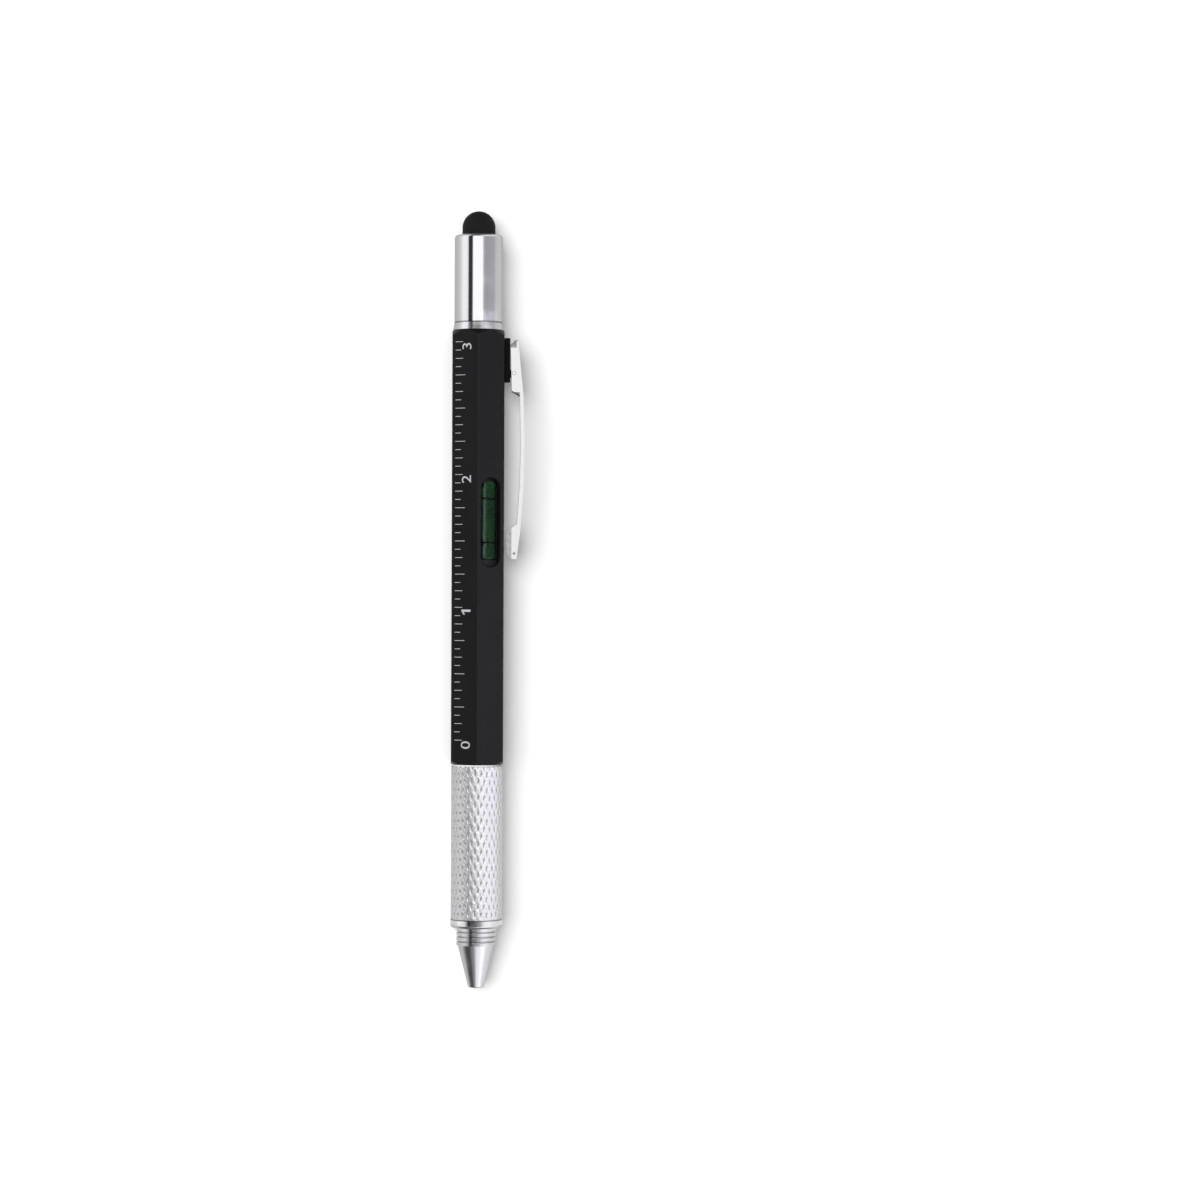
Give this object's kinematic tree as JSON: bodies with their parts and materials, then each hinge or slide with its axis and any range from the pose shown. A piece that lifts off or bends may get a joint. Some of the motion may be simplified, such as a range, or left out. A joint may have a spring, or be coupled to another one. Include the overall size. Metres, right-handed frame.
{
  "type": "multi tool pen",
  "caption": "Twist ball pen with a ruled hexagonal barrel, a spirit level, a pocket clip, a screwdriver bit under its cap and a stylus tip.",
  "frame": {"origin": "centre of the barrel's flat opposite the spirit level, on which the pen rests", "axes": "+X along the pen towards its nib, +Z out of the spirit level's flat, +Y to the side that the clip leans to"},
  "size_m": [0.1492, 0.0145, 0.0113],
  "materials": {
    "anodised_black": "satin black anodised",
    "chrome": "bright polished chrome",
    "satin_steel": "satin nickel plated",
    "spring_steel": "plain spring steel",
    "bare_aluminium": "turned, clear anodised",
    "black_plastic": "fine matte",
    "white_plastic": "moulded natural acetal",
    "clear_acrylic": "clear polished acrylic",
    "level_liquid": "clear tinted liquid",
    "air": "clear",
    "black_rubber": "smooth matte",
    "refill_metal": "satin plated",
    "ball_steel": "polished",
    "ink": "glossy paste"
  },
  "bodies": {
    "barrel": {"barrel": "anodised_black", "cam_sleeve": "white_plastic", "vial_cradle": "black_plastic", "vial_tube": "clear_acrylic", "vial_end_plug": "black_plastic", "vial_liquid": "level_liquid", "vial_line_rings": "black_plastic", "top_insert": "bare_aluminium", "bit_magnet": "satin_steel", "cap_o_ring": "black_rubber", "clip_bracket": "anodised_black", "clip_pin": "spring_steel", "clip_spring": "spring_steel"},
    "grip": {"grip_sleeve": "satin_steel", "grip_core": "bare_aluminium", "grip_end_ring": "chrome", "grip_washer": "white_plastic", "twist_o_ring": "black_rubber", "grip_retaining_clip": "spring_steel", "nib_cone": "satin_steel"},
    "refill": {"refill_plunger": "white_plastic", "plunger_pin": "spring_steel", "refill_tube": "refill_metal", "refill_point": "refill_metal", "writing_ball": "ball_steel", "refill_ink": "ink"},
    "cap": {"cap_sleeve": "chrome", "stylus_plug": "white_plastic", "stylus_tip": "black_rubber"},
    "bit": {"screwdriver_bit": "satin_steel"},
    "clip": {"clip": "chrome"},
    "bubble": {"vial_bubble": "air"}
  },
  "joints": [
    {"name": "grip_twist", "type": "hinge", "parent": "barrel", "child": "grip", "pos_m": [0.0417, 0, 0.005], "axis": [1, 0, 0], "range_deg": [0, 180]},
    {"name": "refill_extend", "type": "slide", "parent": "grip", "child": "refill", "axis": [1, 0, 0], "range_m": [0, 0.004]},
    {"name": "cap_pull", "type": "slide", "parent": "barrel", "child": "cap", "axis": [-1, 0, 0], "range_m": [0, 0.048]},
    {"name": "bit_pull", "type": "slide", "parent": "barrel", "child": "bit", "axis": [-1, 0, 0], "range_m": [0, 0.02]},
    {"name": "clip_open", "type": "hinge", "parent": "barrel", "child": "clip", "pos_m": [-0.0334, 0.00593, 0.00843], "axis": [0, -0.5, 0.866], "range_deg": [0, 4], "stiffness_Nm_per_rad": 0.8, "springref_deg": -2.86, "deforming": ["clip_spring"]},
    {"name": "bubble_drift", "type": "slide", "parent": "barrel", "child": "bubble", "axis": [-1, 0, 0], "range_m": [0, 0.0083], "deforming": ["vial_liquid"]}
  ],
  "couplings": [
    {"joint": "refill_extend", "follows": "grip_twist", "m_per_rad": 0.0012732},
    {"joint": "bit_pull", "follows": "cap_pull", "ratio": 0.41666}
  ]
}
